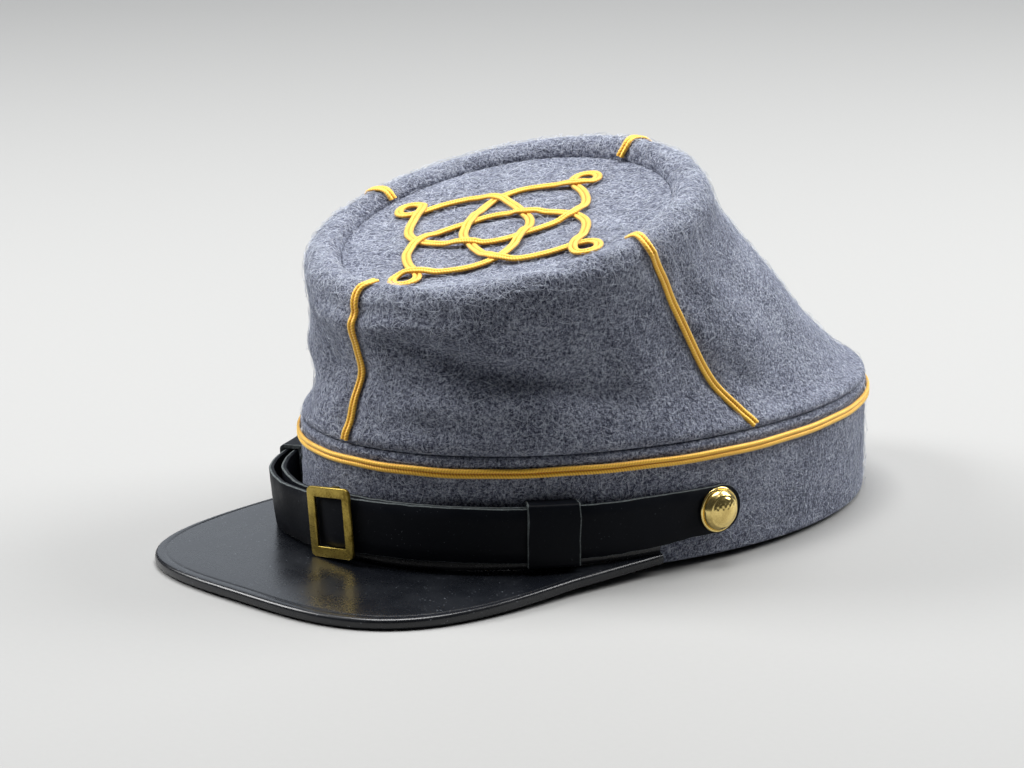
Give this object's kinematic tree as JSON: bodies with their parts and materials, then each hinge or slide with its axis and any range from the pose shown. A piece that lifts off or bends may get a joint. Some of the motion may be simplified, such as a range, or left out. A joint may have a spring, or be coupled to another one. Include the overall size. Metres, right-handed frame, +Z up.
{
  "type": "kepi cap",
  "caption": "Kepi of blue-grey wool with a recessed round top, golden braid, a leather peak and a buckled leather chin strap.",
  "frame": {"origin": "the point on the floor under the middle of the cap's bounding box, as it stands on the peak's front corners and the back of the band", "axes": "-Y to the front, the way the peak points; +X to the wearer's left; +Z up"},
  "size_m": [0.1664, 0.2652, 0.1244],
  "materials": {
    "wool": "matte napped wool, heathered blue-grey",
    "gold_braid": "soft sheen twisted double cord",
    "peak_leather": "glossy black",
    "strap_leather": "satin black",
    "aged_brass": "aged, satin",
    "bright_brass": "polished"
  },
  "bodies": {
    "root": {"band": "wool", "crown_front_left": "wool", "crown_front_right": "wool", "crown_back_left": "wool", "crown_back_right": "wool", "crown_top": "wool", "band_braid": "gold_braid", "seam_braid_front": "gold_braid", "seam_braid_left": "gold_braid", "seam_braid_back": "gold_braid", "seam_braid_right": "gold_braid", "top_knot_braid": "gold_braid", "peak": "peak_leather", "strap_inner": "strap_leather", "strap_outer": "strap_leather", "keeper_left": "strap_leather", "keeper_right": "strap_leather", "buckle": "aged_brass", "button_left": "bright_brass", "button_right": "bright_brass"}
  },
  "joints": []
}
